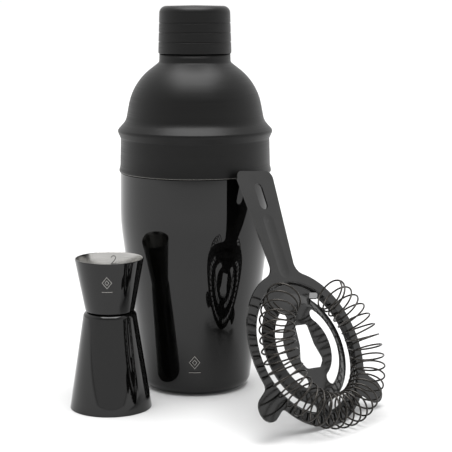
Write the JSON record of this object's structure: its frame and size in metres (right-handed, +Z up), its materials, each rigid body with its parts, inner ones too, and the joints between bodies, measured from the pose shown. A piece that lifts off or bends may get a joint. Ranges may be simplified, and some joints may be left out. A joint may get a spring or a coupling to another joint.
{
  "type": "cocktail shaker set",
  "caption": "Black steel bar set: cobbler shaker with strainer top and cap, double jigger, and coil strainer leaning on the shaker.",
  "frame": {"origin": "centre of the mixing tin's base, on the surface it stands on", "axes": "+Z up along the shaker's axis; the jigger and the coil strainer stand on the -Y side, jigger towards -X and strainer towards +X"},
  "size_m": [0.179, 0.1681, 0.227],
  "materials": {
    "gloss_black": "gloss black coating on steel",
    "satin_black": "satin black coating over spun steel",
    "dark_plate": "semi-gloss black coating on sheet steel",
    "spring_wire": "dark coated steel wire",
    "bare_steel": "fine spun steel, inside the cups"
  },
  "bodies": {
    "tin": {"mixing_tin": "gloss_black"},
    "top": {"shaker_top": "satin_black"},
    "cap": {"cap": "satin_black"},
    "jigger": {"jigger_small_cup": "gloss_black", "jigger_large_cup": "gloss_black"},
    "strainer": {"strainer_plate": "dark_plate"},
    "spring": {"strainer_spring": "spring_wire"}
  },
  "joints": [
    {"name": "top_lift", "type": "slide", "parent": "tin", "child": "top", "axis": [0, 0, 1], "range_m": [0, 0.06]},
    {"name": "cap_lift", "type": "slide", "parent": "top", "child": "cap", "axis": [0, 0, 1], "range_m": [0, 0.04]},
    {"name": "jigger_lift", "type": "slide", "parent": "tin", "child": "jigger", "axis": [0, 0, 1], "range_m": [0, 0.12]},
    {"name": "strainer_lift", "type": "slide", "parent": "tin", "child": "strainer", "axis": [0.6639, -0.5858, 0.4648], "range_m": [0, 0.08]},
    {"name": "spring_off", "type": "slide", "parent": "strainer", "child": "spring", "axis": [0.6639, -0.5858, 0.4648], "range_m": [0, 0.04]}
  ]
}
